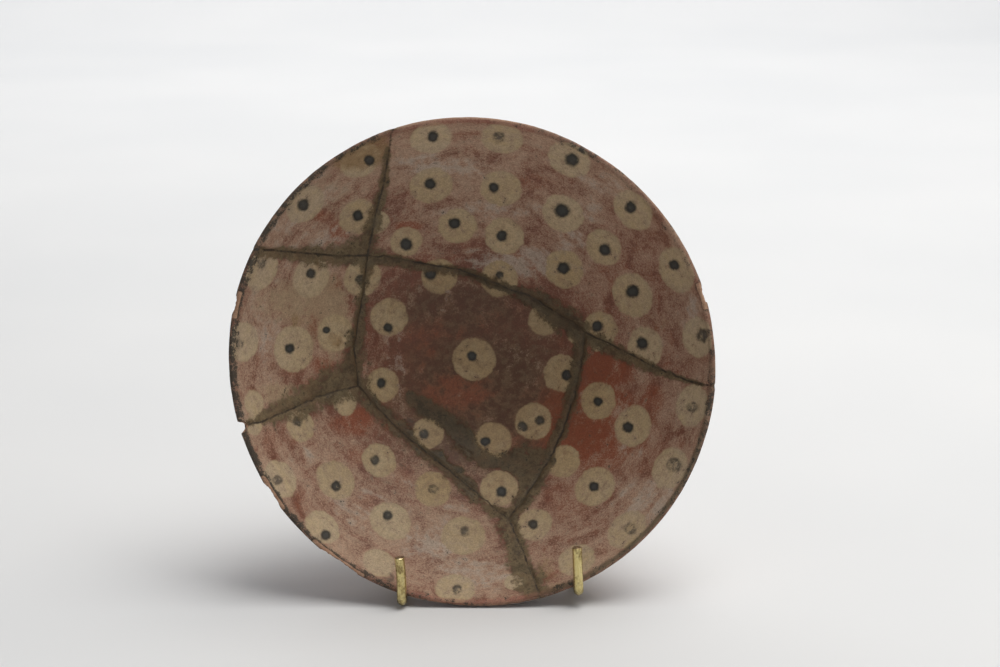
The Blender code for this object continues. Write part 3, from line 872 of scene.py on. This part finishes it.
def with_spots(r, ground, bloom, brown):
    """Cream spots, soft and grainy at their edges and rubbed thin in places, and stains."""
    away = r.math("SUBTRACT", r.length("spot"), 1.0)
    edge = r.times(away, "spot_size")
    edge = r.math("MAXIMUM", edge, r.math("SUBTRACT", "spot_edge", 1.0))
    edge = r.stirred(edge, mid=5.0, mottle=5.0, grain=4.0)
    thin = r.times(r.ease("mottle", 0.50, 0.68), 0.42)
    thin = r.math("MULTIPLY_ADD", r.ease("grain", 0.50, 0.75), 0.22, thin)
    cover = r.times(r.ease(edge, 1.4, -1.1), r.math("SUBTRACT", 1.0, thin))
    cream = r.blend(r.ease("tone", -1.0, 1.0), *CREAM)
    cream = r.coat(cream, CREAM_DULL, r.ease("mottle", 0.42, 0.62), 0.45)
    cream = r.coat(cream, CREAM_CLEAN, r.ease("cloud", 0.52, 0.40), 0.25)
    cream = r.coat(cream, CREAM_EDGE, r.ease(edge, -6.0, -1.0), 0.25)
    chalk = r.ease("reach", 0.45, 0.95, 0.03, 0.38)
    cream = r.coat(cream, CREAM_CHALKY, bloom, chalk)
    # Cream browned and darkened as painted shade on the floor
    cream = r.coat(cream, CREAM_BROWNED_AND_SHADED, brown, 0.45)
    stain = r.ease(r.stirred("stain", mottle=1.8), 0.20, 0.90)
    return r.coat(r.blend(cover, ground, cream), STAIN, stain, 0.7)


def with_dots(r, colour):
    """Blue-black dots, a little paler in the middle and lost in places."""
    dot = r.stirred(r.length("dot"), mid=0.9, small=0.35)
    ink = r.blend(r.ease(dot, 0.75, 0.15, 0.0, 0.5), *INK)
    kept = r.ease(r.stirred("dot_cover", mottle=1.8, grain=1.0), 0.28, 0.72)
    cover = r.times(r.ease(dot, 1.24, 0.66), kept)
    return r.coat(colour, ink, cover, r.ease("dot_cover", 0.0, 1.0, 0.40, 0.97))


def filler(r, brown):
    """Filler and dirt along the joins: its cover, its colour with painted shade towards the floor
    and painted light towards the rim, and the cover of scabs on it.
    """
    smear = r.ease(r.stirred("smear", mid=1.8, mottle=2.4, grain=1.4), -0.20, 0.34)
    smear = r.times(smear, 0.90)
    dirt_and_shading = r.blend(r.ease("mottle", 0.40, 0.59), *DIRT)
    # Filler darkened by the brown film and painted shade on the floor
    dirt_and_shading = r.coat(dirt_and_shading, DIRT_DEEP_AND_SHADED, brown, 0.45)
    dirt_and_shading = r.coat(dirt_and_shading, DIRT_BROWN, r.ease("cloud", 0.46, 0.60), 0.5)
    # Painted shade darkens the filler towards the floor and painted light brightens it towards the
    # rim
    dirt_and_shading = r.scaled_colour(dirt_and_shading, r.ease("reach", 0.25, 0.80, 0.84, 1.20))
    scab = r.times("smear", 0.35)
    scab = r.ease(r.stirred(scab, mottle=4.0, mid=2.0, grain=2.0), 0.42, 0.76)
    return smear, dirt_and_shading, r.times(scab, r.times(smear, 0.72))


def soot_cover(r, lip):
    """Cover of the black speckle along the lip."""
    soot = r.times(r.ease(lip, 5.6, 1.4), "rim_black")
    soot = r.stirred(r.times(soot, 0.66), mottle=2.6, grain=1.7)
    return r.ease(soot, 0.38, 0.56)


def with_lip(r, colour, lip, soot):
    """Red lines, olive dirt and soot along the lip, and painted shade along the edges of its
    chips.
    """
    red = r.times(r.ease(lip, 3.4, 1.4), "rim_red")
    colour = r.coat(colour, LIP_RED, red, 0.6)
    olive = r.times(r.ease(lip, 3.8, 1.6), "rim_olive")
    colour = r.coat(colour, LIP_OLIVE, olive, 0.85)
    colour = r.coat(colour, SOOT, soot, 0.9)
    # Painted shade along the edges of the chips
    return r.coat(colour, CLAY_EDGE_SHADE, r.ease("clay", 0.05, 0.35), 0.75)


def outside(r, dirt_and_shading, soot, line):
    """The plain outside: worn slip, bare clay, fire clouds, soot, and the cracks' dirt with its
    painted shade and light.
    """
    wiped = r.stirred(r.ease("turned", 0.36, 0.64), mottle=1.8, cloud=1.2)
    colour = r.blend(r.ease(wiped, -0.25, 1.25), *OUTSIDE)
    colour = r.coat(colour, OUTSIDE_CLOUD, r.ease("broad", 0.52, 0.68), 0.7)
    colour = r.coat(colour, OUTSIDE_PALE, r.ease("small", 0.45, 0.7), 0.3)
    seam = r.ease(r.stirred("crack", mottle=8.0, mid=6.0), 7.5, 1.5)
    colour = r.coat(colour, dirt_and_shading, seam, 0.75)
    colour = r.coat(colour, OUTSIDE_SOOT, soot, 0.85)
    return r.blend(line, colour, OUTSIDE_CRACK)


def pottery():
    """Slip under a mineral bloom, painted spots, filler along the joins, soot, wear and painted
    shade.
    """
    r = Recipe("spotted_pottery")
    place = r.place()
    r.noises = {name: r.noise(place, *settings) for name, settings in NOISES.items()}
    r.noises["turned"] = r.noise(r.vector("turned"), *TURNED_NOISE)
    ground, bloom, brown = slip_ground(r)
    colour = with_dots(r, with_spots(r, ground, bloom, brown))
    smear, dirt_and_shading, scab = filler(r, brown)
    # Filler and dirt laid on, with their painted shade and light
    colour = r.blend(scab, r.blend(smear, colour, dirt_and_shading), SCAB)
    line = r.ease(r.stirred("crack", small=1.3, mid=0.9), 1.5, 0.3)
    line = r.times(line, r.ease("mid", 0.62, 0.42, 0.35, 0.9))
    colour = r.blend(line, colour, CRACK)

    lip = r.stirred("rim", mid=3.0, mottle=2.0)
    soot = soot_cover(r, lip)
    colour = with_lip(r, colour, lip, soot)
    colour = r.blend("inside", outside(r, dirt_and_shading, soot, line), colour)
    bared = r.times(r.ease("clay", 0.40, 0.75), 0.92)
    colour = r.blend(bared, colour, r.blend(r.ease("small", 0.3, 0.7), *CLAY))

    speck = r.ease(r.cells(place, 560.0), 0.20, 0.10)
    speck = r.times(speck, r.ease("mottle", 0.50, 0.62))
    colour = r.coat(colour, SPECK, speck, 0.45)
    fleck = r.ease("grain", 0.34, 0.66, 0.82, 1.14)
    fleck = r.times(fleck, r.ease("small", 0.36, 0.64, 0.93, 1.05))

    pits = r.ease(r.cells(place, 900.0), 0.0, 0.35)
    height = r.math("MULTIPLY_ADD", "grain", 0.45, r.times("small", 0.5))
    for layer, strength in ((pits, 0.15), (smear, 0.45), (r.times(smear, "mottle"), 1.2)):
        height = r.math("MULTIPLY_ADD", layer, strength, height)
    rough = r.math("MULTIPLY_ADD", "small", 0.4, bloom)
    return r.surface(
        Base_Color=r.scaled_colour(colour, fleck),
        Roughness=r.ease(rough, 0.0, 1.3, 0.56, 0.88),
        Normal=r.bump(height, 0.60, 0.00035),
    )


def brass():
    """Drawn brass rod, bright with brown spots, and darker towards the floor as painted shade."""
    r = Recipe("aged_brass")
    place = r.place()
    broad = r.noise(place, 160.0, 3.0)
    small = r.noise(place, 900.0, 4.0, 0.65)
    drawn = r.noise(r.scaled(place, (1.0, 1.0, 0.12)), 2600.0, 2.0)
    tarnish = r.math("ADD", r.times(broad, 0.7), r.times(small, 0.6))
    tarnish = r.ease(tarnish, 0.62, 0.86)
    colour = r.blend(r.ease(drawn, 0.3, 0.7), *BRASS)
    colour = r.coat(colour, TARNISH, tarnish, 0.8)
    # Painted shade darkens the rod towards the floor
    low = r.ease(r.height(), 0.012, 0.002)
    colour = r.coat(colour, BRASS_LOW_SHADE, low, r.ease(small, 0.35, 0.6, 0.1, 0.55))
    colour = r.blend("cut", colour, r.blend(r.ease(small, 0.4, 0.6), *BRASS_CUT))
    return r.surface(
        Base_Color=colour,
        Metallic=1.0,
        Roughness=r.ease(tarnish, 0.0, 1.0, 0.34, 0.62),
        Normal=r.bump(small, 0.25, 0.0002),
    )


def bent(corners, steps):
    """Round off the corners of a line of points. A corner is a point and its bend radius."""
    points = [corners[0][0]]
    for before, (corner, radius), after in zip(corners, corners[1:], corners[2:]):
        back = (before[0] - corner).normalized()
        ahead = (after[0] - corner).normalized()
        half = back.angle(ahead) / 2.0
        centre = corner + (back + ahead).normalized() * radius / math.sin(half)
        start = corner + back * radius / math.tan(half) - centre
        end = corner + ahead * radius / math.tan(half) - centre
        swing = start.angle(end)
        for step in range(steps + 1):
            share = step / steps
            first = math.sin((1.0 - share) * swing) / math.sin(swing)
            second = math.sin(share * swing) / math.sin(swing)
            points.append(centre + start * first + end * second)
    points.append(corners[-1][0])
    return points


def half_rod(x, front, hook):
    """One side of the rod, from its prong to its upper corner behind the bowl."""
    rail = ROD_DIAMETER / 2.0 - RAIL_FLAT
    dip = front + HOOK_LENGTH
    corners = (
        (x - PRONG_HEIGHT * math.tan(PRONG_TILT), front, hook + PRONG_HEIGHT, 0.0),
        (x, front, hook, HOOK_BEND),
        (x, dip, hook, DIP_BEND),
        (x, dip + DIP_LENGTH, rail, DIP_BEND),
        (x, REAR_CORNER, rail, REAR_BEND),
        (x, *BACKREST, TOP_BEND),
    )
    return [(Vector(corner[:3]), corner[3]) for corner in corners]


def build_stand():
    """The rod as a fine round tube with softened cut ends and rails filed flat below."""
    route = bent(half_rod(*SIDES["left"]) + half_rod(*SIDES["right"])[::-1], BEND_STEPS)
    close = [route[0]]
    route[0] = route[0].lerp(route[1], CUT_EDGE / (route[1] - route[0]).length)
    end_point = route[-1]
    route[-1] = end_point.lerp(route[-2], CUT_EDGE / (route[-2] - end_point).length)
    close.append(route[0])
    for start, end in zip(route, route[1:]):
        parts = max(1, round((end - start).length / ROD_STEP))
        close += [start.lerp(end, part / parts) for part in range(1, parts + 1)]
    close.append(end_point)
    shape = bmesh.new()
    cut = shape.verts.layers.float.new("cut")
    rings = []
    across = Vector((1.0, 0.0, 0.0))
    for index, point in enumerate(close):
        ahead = close[min(index + 1, len(close) - 1)] - close[max(index - 1, 0)]
        ahead.normalize()
        across = (across - ahead * across.dot(ahead)).normalized()
        upward = ahead.cross(across)
        from_end = min(index, len(close) - 1 - index)
        girth = ROD_DIAMETER / 2.0 * (CUT_GIRTH if from_end == 0 else 1.0)
        ring = []
        for side in range(ROD_SIDES):
            turn = 2.0 * math.pi * side / ROD_SIDES
            dent = DENT * math.cos(DENT_ROUND * turn + index * DENT_ALONG) - DENT
            spot = point + (across * math.cos(turn) + upward * math.sin(turn)) * (girth + dent)
            spot.z = max(spot.z, 0.0)
            if spot.x < 0.0 and spot.y < KINK_FRONT and spot.z > KINK_LOW:
                spot.x += KINK * math.sin(math.pi * min(1.0, (spot.z - KINK_LOW) / KINK_LENGTH))
            made = shape.verts.new(spot)
            made[cut] = float(from_end == 0)
            ring.append(made)
        rings.append(ring)
    for first, second in zip(rings, rings[1:]):
        for side in range(ROD_SIDES):
            after = (side + 1) % ROD_SIDES
            shape.faces.new((first[side], first[after], second[after], second[side]))
    shape.faces.new(rings[0][::-1])
    shape.faces.new(rings[-1])
    stand = into_scene(shape, "brass_stand")
    stand.data.set_sharp_from_angle(angle=SHARP)
    return stand


def studio_sheet():
    """A pale sheet that is floor in front and rises behind."""
    shape = bmesh.new()
    profile = [(SHEET_FRONT, 0.0), (SHEET_BEND, 0.0)]
    for step in range(1, SHEET_STEPS + 1):
        turn = math.pi / 2.0 * step / SHEET_STEPS
        back = SHEET_BEND + SHEET_CURVE * math.sin(turn)
        profile.append((back, SHEET_CURVE - SHEET_CURVE * math.cos(turn)))
    profile.append((SHEET_BEND + SHEET_CURVE, SHEET_TOP))
    rows = [[shape.verts.new((x, y, z)) for y, z in profile] for x in (-SHEET_HALF, SHEET_HALF)]
    for index in range(len(profile) - 1):
        shape.faces.new((rows[0][index], rows[0][index + 1], rows[1][index + 1], rows[1][index]))
    sheet = into_scene(shape, "studio_floor")
    r = Recipe("pale_paper")
    tone = r.ease(r.noise(r.place(), 3.0, 2.0), 0.3, 0.7)
    sheet.data.materials.append(r.surface(Base_Color=r.blend(tone, *PAPER), Roughness=0.9))
    return sheet


def aimed(name, data, place, target):
    """A light or camera in its place, turned to a point."""
    made = bpy.data.objects.new(name, data)
    made.location = place
    made.rotation_euler = (target - place).to_track_quat("-Z", "Y").to_euler()
    bpy.context.scene.collection.objects.link(made)
    return made


def look_from(elevation, distance):
    """A camera a little above the bowl's own axis, with the bowl left of the middle."""
    mouth = float(INSIDE_H[-1])
    rim = Vector(BOWL_SEAT.tolist()) + mouth * Vector((0.0, -math.cos(LEAN), math.sin(LEAN)))
    place = rim + distance * Vector((0.0, -math.cos(elevation), math.sin(elevation)))
    focal = PICTURE_RIM / RIM_RADIUS * distance
    data = bpy.data.cameras.new("camera")
    data.sensor_width = SENSOR_WIDTH
    data.lens = focal / PICTURE_WIDTH * SENSOR_WIDTH
    ahead = (rim - place).normalized()
    right = ahead.cross(Vector((0.0, 0.0, 1.0))).normalized()
    above = right.cross(ahead)
    off_right = (PICTURE_MIDDLE[0] - VIEW_AIM[0]) * PIXEL
    off_up = (VIEW_AIM[1] - PICTURE_MIDDLE[1]) * PIXEL
    target = rim + right * off_right + above * off_up
    bpy.context.scene.camera = aimed("camera", data, place, target)


def light_studio():
    """Soft lights and a faint sky."""
    world = bpy.data.worlds.new("studio")
    bpy.context.scene.world = world
    world.use_nodes = True
    background = world.node_tree.nodes["Background"]
    background.inputs["Color"].default_value = SKY
    background.inputs["Strength"].default_value = SKY_STRENGTH
    for name, (place, target, size, power, colour) in LIGHTS.items():
        data = bpy.data.lights.new(name, "AREA")
        data.shape = "RECTANGLE"
        data.size, data.size_y = size
        data.energy = power
        data.color = colour
        aimed(name, data, Vector(place), Vector(target))
    bpy.context.scene.view_settings.view_transform = "Standard"


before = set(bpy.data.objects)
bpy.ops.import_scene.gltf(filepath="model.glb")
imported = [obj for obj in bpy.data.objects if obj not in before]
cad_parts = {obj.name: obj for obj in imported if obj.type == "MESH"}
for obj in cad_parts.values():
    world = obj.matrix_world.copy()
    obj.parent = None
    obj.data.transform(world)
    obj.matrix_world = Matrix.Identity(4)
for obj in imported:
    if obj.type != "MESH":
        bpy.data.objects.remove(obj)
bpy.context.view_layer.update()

bowl = build_bowl()
bowl.data.materials.append(pottery())
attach(bowl, "root")
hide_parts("bowl")

stand = build_stand()
stand.data.materials.append(brass())
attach(stand, "root")
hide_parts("stand")

studio_sheet()
light_studio()
look_from(LEAN + VIEW_RISE, VIEW_DISTANCE)
